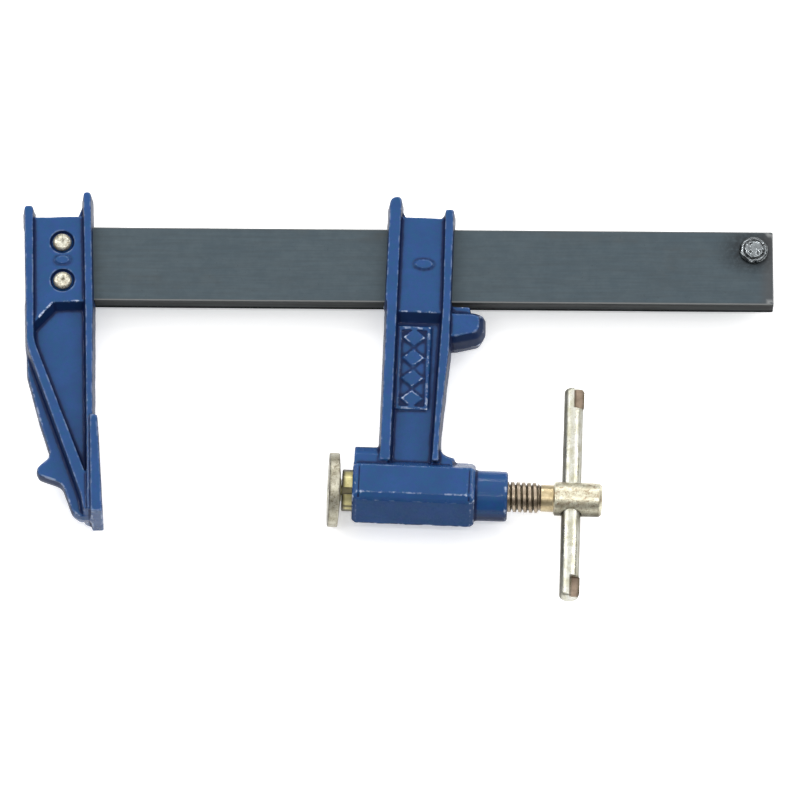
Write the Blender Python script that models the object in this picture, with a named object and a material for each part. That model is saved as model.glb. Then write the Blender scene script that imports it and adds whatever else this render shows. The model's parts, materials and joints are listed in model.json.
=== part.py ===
"""Pump-type F clamp: a flat steel rail, a riveted fixed jaw, and a sliding jaw with a screw pump.

The clamp lies on its side. X runs along the rail, the jaws reach toward -Y, and Z is the thickness.
Every number below is in millimetres or degrees. Meshes are scaled to metres when they are made.
Each casting is drawn in its own frame, on an empty that leans a little on the rail, and the pieces
of the pump are drawn along the pump's axis: U = 0 is the barrel's front face, and U grows toward
the handle.
"""

import math

import bmesh
import bpy
from mathutils import Matrix

MM = 0.001

# Rail
RAIL_WIDTH = 41.0
RAIL_MIDDLE = 0.5
RAIL_THICKNESS = 10.0
RAIL_START = 3.0
RAIL_END = 386.0
RAIL_CHAMFER = 0.5
FIT = 0.3

# Fixed jaw
FIXED_X = 21.0
FIXED_LEAN = 1.8
FIXED_TOP = 25.2
FIXED_TIP = -141.0
FACE_TOP = (17.28, -88.0)
FACE_TIP = (19.3, FIXED_TIP)
FACE_HALF_WIDTH = 13.8

# Sliding jaw
SLIDING_X = 204.5
SLIDING_LEAN = -2.0
SLIDING_TOP = 26.2
SLOT_HALF_HEIGHT = 21.35

# Castings
WEB_HALF = 4.2
SLEEVE_HALF = 9.2
FLANGE_HALF = 12.6
RIB_HALF = 11.6
DRAFT = 1.1

# Rivets
JAW_RIVET_SPACING = 21.4
JAW_RIVET_SHANK = 8.0
JAW_RIVET_HEAD = 9.6
JAW_RIVET_DOME = 2.9
JAW_RIVET_RECESS = 12.2
RECESS_FLOOR = 7.4
STOP_RIVET_X = 376.0
STOP_RIVET_Y = 10.1
STOP_RIVET_HEAD = 14.9
STOP_RIVET_DOME = 3.2

# Pump: the barrel of the sliding jaw, and what runs in it
PUMP_X = -29.3
PUMP_Y = -123.7
BARREL_LENGTH = 62.3
BARREL_FLATS = 30.4
NECK_END = 79.0
NECK_DIAMETER = 25.8
BORE_END = 54.0
PLUNGER_DIAMETER = 21.4
PLUNGER_FRONT = -5.3
PLUNGER_REAR = 40.0
KEYWAY_WIDTH = 3.6
KEYWAY_FLOOR = 8.2
KEYWAY_END = 31.5
KEYWAY_TURN = 23.0
KEY_START = 1.5
KEY_END = 8.0
KEY_TOP = 12.4
SOCKET_START = 26.0
NOSE_DIAMETER = 12.0
NOSE_START = 26.6
PIN_DIAMETER = 3.0
PIN_LENGTH = 15.0
PIN_U = 35.5
PIN_OFFSET = 5.7
GROOVE_RADIUS = 3.8
SHOULDER_U = 41.9
THREAD_START = 43.0
THREAD_END = 96.0
THREAD_DIAMETER = 15.6
THREAD_CORE = 12.8
THREAD_PITCH = 2.75
SHANK_DIAMETER = 13.8
HEAD_START = 102.5
HEAD_END = 127.0
HEAD_DIAMETER = 17.4

# Handle
BAR_U = 111.3
BAR_LEAN = 0.5
BAR_DIAMETER = 9.9
BAR_LENGTH = 114.6
BAR_OFFSET = 3.0
BAR_PRESSED = 11.5

# Swivel pad
PAD_DIAMETER = 38.0
PAD_FRONT = -12.4
PAD_RIM_BACK = -7.0
PAD_HUB_BACK = -6.2
PAD_PIVOT = -9.3
PAD_TILT = 2.8
PAD_TILT_TURN = 23.0

# The origin is under the middle of the clamp, at the height of what it lies on.
ORIGIN = (192.836, -71.0878, -19.0116)

ROUND = 32
ARC_STEPS = 4


# ---------------------------------------------------------------- materials


def material(name, colour, roughness, metallic):
    made = bpy.data.materials.new(name)
    made.use_nodes = True
    shader = made.node_tree.nodes["Principled BSDF"]
    shader.inputs["Base Color"].default_value = (*colour, 1.0)
    shader.inputs["Roughness"].default_value = roughness
    shader.inputs["Metallic"].default_value = metallic
    made.diffuse_color = (*colour, 1.0)
    return made


# ---------------------------------------------------------------- outlines


def leave_corner(point, toward, distance):
    """The point at this distance from a corner, on the way to another point."""
    reach = math.dist(point, toward)
    share = distance / reach
    return (point[0] + (toward[0] - point[0]) * share, point[1] + (toward[1] - point[1]) * share)


def rounded(corners):
    """A polygon from (x, y, radius) corners, counter-clockwise, with an arc at each radius over 0."""
    points = []
    count = len(corners)
    for index, (x, y, radius) in enumerate(corners):
        before = corners[index - 1][:2]
        after = corners[(index + 1) % count][:2]
        if radius == 0:
            points.append((x, y))
            continue
        start = math.atan2(before[1] - y, before[0] - x)
        end = math.atan2(after[1] - y, after[0] - x)
        opening = (end - start + math.pi) % (2 * math.pi) - math.pi
        reach = radius / math.tan(abs(opening) / 2)
        first = leave_corner((x, y), before, reach)
        middle = start + opening / 2
        depth = radius / math.sin(abs(opening) / 2)
        centre = (x + depth * math.cos(middle), y + depth * math.sin(middle))
        begin = math.atan2(first[1] - centre[1], first[0] - centre[0])
        sweep = -math.copysign(math.pi - abs(opening), opening)
        for step in range(ARC_STEPS + 1):
            angle = begin + sweep * step / ARC_STEPS
            points.append((centre[0] + radius * math.cos(angle), centre[1] + radius * math.sin(angle)))
    return points


def inset(corners, distance):
    """The same corners moved inward, which is what draft does to a casting's outline."""
    moved = []
    count = len(corners)
    for index, (x, y, radius) in enumerate(corners):
        before = corners[index - 1]
        after = corners[(index + 1) % count]
        ax, ay = x - before[0], y - before[1]
        bx, by = after[0] - x, after[1] - y
        a_long, b_long = math.hypot(ax, ay), math.hypot(bx, by)
        nx = -ay / a_long - by / b_long
        ny = ax / a_long + bx / b_long
        scale = distance / (1 + (ax * bx + ay * by) / (a_long * b_long))
        moved.append((x + nx * scale, y + ny * scale, radius))
    return moved


# ---------------------------------------------------------------- solids


def loft(sections):
    """A closed solid through (z, points) sections, lowest first, with flat ends."""
    bm = bmesh.new()
    rings = [[bm.verts.new((x, y, z)) for x, y in points] for z, points in sections]
    for low, high in zip(rings, rings[1:]):
        for index in range(len(low)):
            after = (index + 1) % len(low)
            bm.faces.new((low[index], low[after], high[after], high[index]))
    bm.faces.new(list(reversed(rings[0])))
    bm.faces.new(rings[-1])
    return bm


def drafted(corners, half, draft=DRAFT):
    """A cast plate, full size at its mid-plane and tapered toward both faces."""
    face = rounded(inset(corners, draft))
    return loft([(-half, face), (0, rounded(corners)), (half, face)])


def plate(corners, half):
    points = rounded(corners)
    return loft([(-half, points), (half, points)])


def block(low, high):
    (x0, y0, z0), (x1, y1, z1) = low, high
    points = [(x0, y0), (x1, y0), (x1, y1), (x0, y1)]
    return loft([(z0, points), (z1, points)])


def turned(profile, segments=ROUND):
    """A solid of revolution about X from (x, radius) points, in order of rising x."""
    bm = bmesh.new()
    rings = []
    for x, radius in profile:
        ring = []
        for step in range(segments):
            angle = 2 * math.pi * step / segments
            ring.append(bm.verts.new((x, radius * math.cos(angle), radius * math.sin(angle))))
        rings.append(ring)
    for low, high in zip(rings, rings[1:]):
        for index in range(segments):
            after = (index + 1) % segments
            bm.faces.new((low[index], low[after], high[after], high[index]))
    bm.faces.new(list(reversed(rings[0])))
    bm.faces.new(rings[-1])
    return bm


def turned_ring(profile, segments=ROUND):
    """A ring about X from a closed loop of (x, radius) points, in any order."""
    bm = bmesh.new()
    rings = []
    for step in range(segments):
        angle = 2 * math.pi * step / segments
        rings.append([bm.verts.new((x, r * math.cos(angle), r * math.sin(angle))) for x, r in profile])
    for index, ring in enumerate(rings):
        following = rings[(index + 1) % segments]
        for corner in range(len(profile)):
            after = (corner + 1) % len(profile)
            bm.faces.new((ring[corner], ring[after], following[after], following[corner]))
    bmesh.ops.recalc_face_normals(bm, faces=bm.faces)
    return bm


def screw_thread(start, end, pitch, core, outer, segments=16):
    """A helical ridge with its core, as one strip that winds round X and is closed at both ends."""
    rows = [(0.0, core), (0.32, core), (0.5, outer), (0.82, outer)]
    bm = bmesh.new()
    steps = int((end - start) / pitch - 1) * segments
    columns = []
    for step in range(steps + 1):
        angle = 2 * math.pi * step / segments
        along = start + pitch * step / segments
        column = []
        for share, radius in rows:
            place = (along + pitch * share, radius * math.cos(angle), radius * math.sin(angle))
            column.append(bm.verts.new(place))
        columns.append(column)
    last = steps - segments
    for step in range(last):
        here, following = columns[step], columns[step + 1]
        turn, turn_following = columns[step + segments], columns[step + segments + 1]
        loop = list(zip(here + [turn[0]], following + [turn_following[0]]))
        for (a, b), (c, d) in zip(loop, loop[1:]):
            bm.faces.new((a, c, d, b))
    for column in columns[last + segments + 1:]:
        for vert in column:
            bm.verts.remove(vert)
    for column in columns[last + 1:last + segments + 1]:
        for vert in column[1:]:
            bm.verts.remove(vert)
    for first in (0, last):
        rim = [columns[step][0] for step in range(first, first + segments + 1)]
        rim += reversed(columns[first][1:])
        hub = bm.verts.new((start + pitch * (first / segments + 0.5), 0, 0))
        for index, vert in enumerate(rim):
            bm.faces.new((vert, rim[(index + 1) % len(rim)], hub))
    bmesh.ops.recalc_face_normals(bm, faces=bm.faces)
    return bm


# ---------------------------------------------------------------- objects


def empty(name, place, parent=None, turn=0.0, axis="Z"):
    made = bpy.data.objects.new(name, None)
    bpy.context.scene.collection.objects.link(made)
    made.empty_display_size = 0.01
    made.parent = parent
    made.location = [value * MM for value in place]
    made.rotation_euler["XYZ".index(axis)] = math.radians(turn)
    return made


def solid(name, bm, finish, parent, smooth=None, place=(0, 0, 0), turn=0.0, axis="X"):
    """Makes an object from a bmesh drawn in millimetres, and shades it smooth below an angle."""
    bmesh.ops.transform(bm, matrix=Matrix.Scale(MM, 4), verts=bm.verts)
    mesh = bpy.data.meshes.new(name)
    bm.to_mesh(mesh)
    bm.free()
    if smooth is not None:
        mesh.shade_smooth()
        mesh.set_sharp_from_angle(angle=math.radians(smooth))
    made = bpy.data.objects.new(name, mesh)
    bpy.context.scene.collection.objects.link(made)
    made.parent = parent
    made.location = [value * MM for value in place]
    made.rotation_euler["XYZ".index(axis)] = math.radians(turn)
    if finish:
        mesh.materials.append(finish)
    return made


def tool(name, bm, parent, **placing):
    """A helper that a Boolean joins or cuts with, and that isn't part of the clamp."""
    made = solid(name, bm, None, parent, **placing)
    made.hide_render = True
    made.display_type = "WIRE"
    return made


def combine(target, helpers, operation):
    for helper in helpers:
        modifier = target.modifiers.new(f"{operation.lower()} {helper.name}", "BOOLEAN")
        modifier.operation = operation
        modifier.solver = "EXACT"
        modifier.object = helper


def along_z(bm):
    """Turns a solid of revolution from X to Z."""
    bmesh.ops.rotate(bm, matrix=Matrix.Rotation(math.radians(-90), 3, "Y"), verts=bm.verts)
    return bm


def along_y(bm):
    bmesh.ops.rotate(bm, matrix=Matrix.Rotation(math.radians(90), 3, "Z"), verts=bm.verts)
    return bm


def cylinder(start, end, diameter, segments=ROUND):
    return turned([(start, diameter / 2), (end, diameter / 2)], segments)


# ---------------------------------------------------------------- pieces


def domed_rivet(half_grip, shank, head, dome, segments=24):
    """A rivet about Z, with a domed head beyond each side of its grip."""
    steps = 4
    upper = []
    for step in range(steps):
        angle = math.pi / 2 * step / steps
        upper.append((half_grip + dome * math.sin(angle), head / 2 * math.cos(angle)))
    upper = [(half_grip, shank / 2)] + upper + [(half_grip + dome, head / 16)]
    lower = [(-x, radius) for x, radius in reversed(upper)]
    return along_z(turned(lower + upper, segments))


def make_rail(parent, finish):
    low, high = RAIL_MIDDLE - RAIL_WIDTH / 2, RAIL_MIDDLE + RAIL_WIDTH / 2
    edge = RAIL_CHAMFER
    corners = [(RAIL_START, low, 0), (RAIL_END, low, 0), (RAIL_END, high, 0), (RAIL_START, high, 0)]
    face = rounded(inset(corners, edge))
    side = rounded(corners)
    height = RAIL_THICKNESS / 2
    sections = [(-height, face), (-height + edge, side), (height - edge, side), (height, face)]
    rail = solid("rail", loft(sections), finish, parent)
    holes = [tool("rail_stop_hole", along_z(cylinder(-9, 9, JAW_RIVET_SHANK + 2 * FIT, 24)), parent,
                  place=(STOP_RIVET_X, STOP_RIVET_Y, 0))]
    for side_name, (x, y) in jaw_rivet_places().items():
        hole = along_z(cylinder(-9, 9, JAW_RIVET_SHANK + 2 * FIT, 24))
        holes.append(tool(f"rail_rivet_hole_{side_name}", hole, parent, place=(x, y, 0)))
    combine(rail, holes, "DIFFERENCE")
    return rail


def jaw_rivet_places():
    """Where the fixed jaw's rivets are along the rail, on the jaw's leaning centre line."""
    lean = math.radians(FIXED_LEAN)
    half = JAW_RIVET_SPACING / 2
    across = (-half * math.sin(lean), half * math.cos(lean))
    return {
        "upper": (FIXED_X + across[0], across[1]),
        "lower": (FIXED_X - across[0], -across[1]),
    }


def make_fixed_jaw(jaw_frame, rail_frame, finish):
    web = [
        (-20.2, FIXED_TOP, 0),
        (-19.0, -61.0, 10),
        (-12.9, -87.0, 30),
        (-7.4, -105.8, 4),
        (-14.6, -112.4, 3),
        (-14.2, -116.8, 3),
        (-1.8, -121.8, 6),
        (3.4, -137.6, 5),
        (7.4, FIXED_TIP + 0.6, 1.5),
        (15.0, FIXED_TIP + 0.6, 0),
        (14.0, 34.5, 0),
        (10.6, 34.5, 0),
        (7.0, FIXED_TOP, 3),
        (-12.6, FIXED_TOP, 2),
        (-14.6, 28.4, 0),
        (-17.0, 28.4, 0),
        (-17.0, FIXED_TOP, 0),
    ]
    rib = [
        (-20.4, 31.8, 1.5),
        (-19.7, -47.6, 25),
        (7.4, -131.4, 3),
        (8.6, FIXED_TIP + 1.0, 2),
        (15.4, FIXED_TIP + 1.0, 0),
        (15.4, -129.0, 0),
        (-13.8, -44.2, 25),
        (-13.6, 31.8, 1.5),
    ]
    flange = [
        (10.4, FIXED_TIP + 0.9, 0),
        (15.8, FIXED_TIP + 0.9, 0),
        (16.0, -74.0, 3),
        (16.6, -26.0, 8),
        (16.2, 38.2, 1.5),
        (10.0, 38.2, 1.5),
        (10.4, -24.0, 8),
    ]
    face_plate = [
        (13.2, FIXED_TIP, 0),
        (*FACE_TIP, 0),
        (*FACE_TOP, 0.8),
        (13.2, FACE_TOP[1] + 1.2, 0.8),
    ]
    top = FIXED_TOP - 0.2
    surface = [(-18.0, top), (-18.0, -38.0), (-4.7, -22.9), (13.5, -22.9), (13.5, top)]
    floor = [(-18.0, top), (-18.0, -42.0), (-3.6, -26.6), (13.5, -26.6), (13.5, top)]
    sleeve = [(-SLEEVE_HALF, surface), (-WEB_HALF + 1, floor), (WEB_HALF - 1, floor), (SLEEVE_HALF, surface)]

    jaw = solid("fixed_jaw", drafted(web, WEB_HALF, 0.5), finish, jaw_frame)
    joined = [
        tool("fixed_jaw_rib_tool", drafted(rib, RIB_HALF), jaw_frame),
        tool("fixed_jaw_flange_tool", drafted(flange, FLANGE_HALF), jaw_frame),
        tool("fixed_jaw_face_tool", plate(face_plate, FACE_HALF_WIDTH), jaw_frame),
        tool("fixed_jaw_sleeve_tool", loft(sleeve), jaw_frame),
    ]
    combine(jaw, joined, "UNION")

    half_height = RAIL_WIDTH / 2 + FIT
    half_thick = RAIL_THICKNESS / 2 + FIT
    low, high = RAIL_MIDDLE - half_height, RAIL_MIDDLE + half_height
    slot = block((-10.0, low, -half_thick), (60.0, high, half_thick))
    cut = [tool("fixed_jaw_slot_tool", slot, rail_frame)]
    for side_name, (x, y) in jaw_rivet_places().items():
        hole = along_z(cylinder(-20, 20, JAW_RIVET_SHANK + 2 * FIT, 24))
        cut.append(tool(f"fixed_jaw_hole_{side_name}_tool", hole, rail_frame, place=(x, y, 0)))
        for end in (-1, 1):
            recess = along_z(cylinder(0, 12, JAW_RIVET_RECESS, 24))
            place = (x, y, RECESS_FLOOR if end > 0 else -RECESS_FLOOR - 12)
            cut.append(tool(f"fixed_jaw_recess_{side_name}_{end}_tool", recess, rail_frame, place=place))
    combine(jaw, cut, "DIFFERENCE")
    return jaw


def make_sliding_jaw(jaw_frame, pump_frame, finish):
    web = [
        (-17.4, SLIDING_TOP, 0),
        (-17.0, -110.5, 0),
        (22.4, -110.5, 0),
        (22.4, -104.6, 0.5),
        (14.4, -104.0, 7),
        (14.4, -92.0, 20),
        (17.2, -48.0, 20),
        (16.6, 30.4, 0),
        (11.4, 30.4, 0),
        (7.6, SLIDING_TOP, 2),
        (-6.8, SLIDING_TOP, 3),
        (-10.4, 33.0, 0),
        (-14.0, 33.0, 0),
        (-14.0, SLIDING_TOP, 0),
    ]
    inner_flange = [
        (-17.9, 36.8, 3.5),
        (-17.9, -22.0, 2),
        (-17.1, -24.0, 2),
        (-17.1, -112.0, 0),
        (-9.6, -112.0, 0),
        (-9.6, 36.8, 2),
    ]
    outer_flange = [
        (9.4, -111.5, 0),
        (14.9, -111.5, 0),
        (14.9, -93.0, 20),
        (18.0, -48.0, 20),
        (17.4, 30.8, 0.8),
        (10.8, 30.8, 1),
        (11.6, -26.0, 10),
        (10.6, -60.0, 10),
    ]
    top = SLIDING_TOP - 0.2
    surface = [(-13.0, -27.2), (14.0, -27.2), (14.0, top), (-13.0, top)]
    floor = [(-13.0, -32.2), (14.0, -32.2), (14.0, top), (-13.0, top)]
    sleeve = [(-SLEEVE_HALF, surface), (-WEB_HALF + 1, floor), (WEB_HALF - 1, floor), (SLEEVE_HALF, surface)]
    lug = [
        (12.0, -44.3, 0),
        (20.5, -43.8, 2),
        (32.5, -40.6, 4),
        (35.2, -35.8, 4),
        (35.0, -26.2, 2),
        (29.0, -24.3, 4),
        (12.0, -24.3, 0),
    ]
    lug_sections = []
    for z, drawn_in in ((-10.4, 3.6), (-6.5, 1.2), (0.0, 0.0), (6.5, 1.2), (10.4, 3.6)):
        lug_sections.append((z, rounded(inset(lug, drawn_in))))
    ledge = [(15.5, -30.0, 0), (27.2, -30.0, 0), (27.2, -21.3, 1), (15.5, -21.3, 0)]
    heel = [
        (9.4, -112.0, 0),
        (22.2, -112.0, 0),
        (22.2, -106.8, 1),
        (15.0, -105.8, 8),
        (15.0, -92.0, 0),
        (9.4, -92.0, 0),
    ]
    left, right, bottom = -29.0, -12.0, -118.0
    foot = []
    for z, top in ((-11.6, -107.8), (-9.0, -103.2), (0.0, -99.2), (9.0, -103.2), (11.6, -107.8)):
        foot.append((z, [(left, bottom), (right, bottom), (right, top), (left, top)]))

    jaw = solid("sliding_jaw", drafted(web, WEB_HALF, 0.5), finish, jaw_frame)
    corner = BARREL_FLATS / math.sqrt(3)
    barrel_profile = [(0, corner - 1.5), (2.2, corner), (BARREL_LENGTH - 2, corner)]
    barrel_profile.append((BARREL_LENGTH, corner - 1.4))
    neck_profile = [(BARREL_LENGTH - 6, NECK_DIAMETER / 2), (NECK_END - 1, NECK_DIAMETER / 2)]
    neck_profile.append((NECK_END, NECK_DIAMETER / 2 - 1))
    joined = [
        tool("sliding_jaw_inner_flange_tool", drafted(inner_flange, FLANGE_HALF), jaw_frame),
        tool("sliding_jaw_outer_flange_tool", drafted(outer_flange, FLANGE_HALF), jaw_frame),
        tool("sliding_jaw_sleeve_tool", loft(sleeve), jaw_frame),
        tool("sliding_jaw_lug_tool", loft(lug_sections), jaw_frame),
        tool("sliding_jaw_heel_tool", drafted(heel, 9.0), jaw_frame),
        tool("sliding_jaw_ledge_tool", drafted(ledge, 5.2, 0.4), jaw_frame),
        tool("sliding_jaw_foot_tool", loft(foot), jaw_frame),
        tool("sliding_jaw_barrel_tool", turned(barrel_profile, 6), pump_frame),
        tool("sliding_jaw_neck_tool", turned(neck_profile), pump_frame),
    ]
    combine(jaw, joined, "UNION")

    half_thick = RAIL_THICKNESS / 2 + FIT
    low, high = RAIL_MIDDLE - SLOT_HALF_HEIGHT, RAIL_MIDDLE + SLOT_HALF_HEIGHT
    slot = block((-40.0, low, -half_thick), (40.0, high, half_thick))
    half_key = KEYWAY_WIDTH / 2
    key_seat = block((KEY_START - FIT, -half_key, 5.0), (KEY_END + FIT, half_key, KEY_TOP + FIT))
    cut = [
        tool("sliding_jaw_slot_tool", slot, jaw_frame),
        tool("sliding_jaw_bore_tool", cylinder(-5, BORE_END, PLUNGER_DIAMETER + 2 * FIT), pump_frame),
        tool("sliding_jaw_thread_bore_tool", cylinder(20, 90, THREAD_DIAMETER + 0.8), pump_frame),
        tool("sliding_jaw_key_seat_tool", key_seat, pump_frame, turn=KEYWAY_TURN),
    ]
    combine(jaw, cut, "DIFFERENCE")
    return jaw


def make_plunger(frame, finish):
    radius = PLUNGER_DIAMETER / 2
    profile = [(PLUNGER_FRONT, radius - 0.6), (PLUNGER_FRONT + 0.6, radius)]
    profile += [(PLUNGER_REAR - 1, radius), (PLUNGER_REAR, radius - 1)]
    plunger = solid("plunger", turned(profile), finish, frame, smooth=30)
    half = KEYWAY_WIDTH / 2
    keyway = block((PLUNGER_FRONT - 5, -half, KEYWAY_FLOOR), (KEYWAY_END, half, 15.0))
    cut = [
        tool("plunger_keyway_tool", keyway, frame, turn=KEYWAY_TURN),
        tool("plunger_socket_tool", cylinder(SOCKET_START, 60, NOSE_DIAMETER + 2 * FIT), frame),
        tool("plunger_rivet_hole_tool", cylinder(-20, 2.6, 5.6, 20), frame),
    ]
    for side, name in ((1, "upper"), (-1, "lower")):
        bore = along_y(cylinder(-20, 20, PIN_DIAMETER + 2 * FIT, 16))
        cut.append(tool(f"plunger_pin_hole_{name}_tool", bore, frame, place=(PIN_U, 0, side * PIN_OFFSET)))
    combine(plunger, cut, "DIFFERENCE")
    return plunger


def make_spindle(frame, bar_frame, finish):
    nose = NOSE_DIAMETER / 2
    shank = SHANK_DIAMETER / 2
    head = HEAD_DIAMETER / 2
    core = THREAD_CORE / 2
    groove_half = PIN_DIAMETER / 2 + 0.4
    profile = [
        (NOSE_START, nose - 0.8),
        (NOSE_START + 0.8, nose),
        (PIN_U - groove_half, nose),
        (PIN_U - groove_half, GROOVE_RADIUS),
        (PIN_U + groove_half, GROOVE_RADIUS),
        (PIN_U + groove_half, nose),
        (SHOULDER_U, nose),
        (SHOULDER_U, THREAD_DIAMETER / 2 - 0.5),
        (THREAD_START + 0.6, THREAD_DIAMETER / 2 - 0.5),
        (THREAD_START + 1.2, core - 0.4),
        (THREAD_END - 1.6, core - 0.4),
        (THREAD_END - 0.6, shank),
        (HEAD_START, shank),
        (HEAD_START, head - 0.4),
        (HEAD_START + 0.4, head),
        (HEAD_END - 1.4, head),
        (HEAD_END - 0.5, head - 1.1),
        (HEAD_END, head - 3.5),
    ]
    spindle = solid("spindle", turned(profile), finish, frame, smooth=30)
    thread = screw_thread(THREAD_START, THREAD_END + 1, THREAD_PITCH, core, THREAD_DIAMETER / 2)
    combine(spindle, [tool("spindle_thread_tool", thread, frame)], "UNION")
    hole = along_y(cylinder(-20, 20, BAR_DIAMETER + 2 * FIT, 24))
    combine(spindle, [tool("spindle_bar_hole_tool", hole, bar_frame)], "DIFFERENCE")
    return spindle


def make_tommy_bar(frame, finish):
    """The bar about Y, with a pressed flat that spreads each end so that it can't leave its hole."""
    half = BAR_LENGTH / 2
    radius = BAR_DIAMETER / 2
    spread = radius + 0.8
    end = [(half - 1.8, radius), (half - 0.6, radius - 1.2), (half, radius - 3.0)]
    profile = [(-x, r) for x, r in reversed(end)] + end
    bar = solid("tommy_bar", along_y(turned(profile, 24)), finish, frame, smooth=30, place=(0, BAR_OFFSET, 0))
    joined = []
    cut = []
    for sign, name in ((1, "upper"), (-1, "lower")):
        first, last = sorted((sign * (half - BAR_PRESSED), sign * (half - 2.0)))
        ear = block((0.0, first, -3.4), (spread, last, 1.6))
        flat_first, flat_last = sorted((sign * (half - BAR_PRESSED), sign * (half + 5)))
        flat = block((0.2, flat_first, 1.6), (9.0, flat_last, 9.0))
        joined.append(tool(f"tommy_bar_ear_{name}_tool", ear, frame, place=(0, BAR_OFFSET, 0)))
        cut.append(tool(f"tommy_bar_flat_{name}_tool", flat, frame, place=(0, BAR_OFFSET, 0)))
    combine(bar, joined, "UNION")
    combine(bar, cut, "DIFFERENCE")
    return bar


def make_pad(frame, finish):
    """The pad is drawn about its own pivot, which is on the pump's axis."""
    rim = PAD_DIAMETER / 2
    profile = [
        (PAD_FRONT, rim - 1.0),
        (PAD_FRONT + 1.0, rim),
        (PAD_RIM_BACK - 0.6, rim),
        (PAD_RIM_BACK, rim - 0.8),
        (PAD_HUB_BACK, 8.0),
    ]
    local = [(x - PAD_PIVOT, radius) for x, radius in profile]
    pad = solid("pad", turned(local, 40), finish, frame, smooth=30)
    cut = [
        tool("pad_rivet_hole_tool", cylinder(-9, 9, 7.6, 24), frame),
        tool("pad_front_recess_tool", cylinder(-9, 0.3, 12.4, 32), frame),
        tool("pad_washer_recess_tool", cylinder(1.5, 9, 13.2, 32), frame),
    ]
    combine(pad, cut, "DIFFERENCE")
    return pad


def make_pump_hardware(pump, finish_steel, finish_plated):
    half = KEYWAY_WIDTH / 2 - FIT
    key = block((KEY_START, -half, KEYWAY_FLOOR + 0.4), (KEY_END, half, KEY_TOP))
    solid("guide_key", key, finish_steel, pump, turn=KEYWAY_TURN)
    for side, name in ((1, "upper"), (-1, "lower")):
        pin = along_y(cylinder(-PIN_LENGTH / 2, PIN_LENGTH / 2, PIN_DIAMETER, 16))
        place = (PIN_U, 0, side * PIN_OFFSET)
        solid(f"retaining_pin_{name}", pin, finish_steel, pump, smooth=40, place=place)
    outer, inner = 8.6, NOSE_DIAMETER / 2 + FIT + 0.1
    first, last = PLUNGER_REAR + FIT, SHOULDER_U - FIT
    washer = turned_ring([(first, inner), (last, inner), (last, outer), (first, outer)])
    solid("thrust_washer", washer, finish_steel, pump, smooth=40)
    dished = turned_ring([(-6.7, 3.3), (-6.4, 5.6), (-5.7, 5.6), (-6.0, 3.3)], 24)
    solid("pad_washer", dished, finish_plated, pump, smooth=40)
    rivet = turned([(-11.5, 4.4), (-11.1, 4.8), (-10.2, 4.8), (-9.4, 2.5), (2.2, 2.5)], 24)
    solid("pad_rivet", rivet, finish_plated, pump, smooth=30)


# ---------------------------------------------------------------- assembly


def main():
    for old in list(bpy.data.objects):
        bpy.data.objects.remove(old, do_unlink=True)

    enamel = material("blue_enamel", (0.045, 0.11, 0.29), 0.3, 0.0)
    mill_steel = material("mill_scale_steel", (0.09, 0.10, 0.105), 0.45, 0.8)
    plated = material("yellow_zinc", (0.62, 0.58, 0.36), 0.3, 1.0)
    rivet_steel = material("pale_rivet_steel", (0.70, 0.66, 0.50), 0.35, 1.0)
    dark_rivet = material("dark_rivet_steel", (0.10, 0.11, 0.11), 0.3, 0.9)
    screw_steel = material("brown_oiled_steel", (0.33, 0.27, 0.19), 0.35, 1.0)
    bar_steel = material("zinc_bar_steel", (0.70, 0.69, 0.60), 0.28, 1.0)
    inner_steel = material("bright_steel", (0.45, 0.45, 0.44), 0.3, 1.0)

    rail_frame = empty("rail_frame", [-value for value in ORIGIN])
    fixed_frame = empty("fixed_jaw_frame", (FIXED_X, 0, 0), rail_frame, FIXED_LEAN)
    sliding_frame = empty("sliding_jaw_frame", (SLIDING_X, 0, 0), rail_frame, SLIDING_LEAN)
    pump_frame = empty("pump_frame", (PUMP_X, PUMP_Y, 0), sliding_frame)
    bar_frame = empty("tommy_bar_frame", (BAR_U, 0, 0), pump_frame, BAR_LEAN)
    swivel_frame = empty("pad_swivel_frame", (PAD_PIVOT, 0, 0), pump_frame, PAD_TILT_TURN, "X")
    pad_frame = empty("pad_frame", (0, 0, 0), swivel_frame, PAD_TILT, "Y")

    make_rail(rail_frame, mill_steel)
    make_fixed_jaw(fixed_frame, rail_frame, enamel)
    for side_name, (x, y) in jaw_rivet_places().items():
        rivet = domed_rivet(RECESS_FLOOR + FIT, JAW_RIVET_SHANK, JAW_RIVET_HEAD, JAW_RIVET_DOME)
        solid(f"fixed_jaw_rivet_{side_name}", rivet, rivet_steel, rail_frame, smooth=50, place=(x, y, 0))
    stop = domed_rivet(RAIL_THICKNESS / 2 + FIT, JAW_RIVET_SHANK, STOP_RIVET_HEAD, STOP_RIVET_DOME)
    solid("stop_rivet", stop, dark_rivet, rail_frame, smooth=50, place=(STOP_RIVET_X, STOP_RIVET_Y, 0))
    make_sliding_jaw(sliding_frame, pump_frame, enamel)
    make_plunger(pump_frame, plated)
    make_spindle(pump_frame, bar_frame, screw_steel)
    make_tommy_bar(bar_frame, bar_steel)
    make_pad(pad_frame, plated)
    make_pump_hardware(pump_frame, inner_steel, plated)


main()
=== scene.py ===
import json
import math

import bmesh
import bpy
import numpy as np
from mathutils import Matrix, Vector, noise


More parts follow.
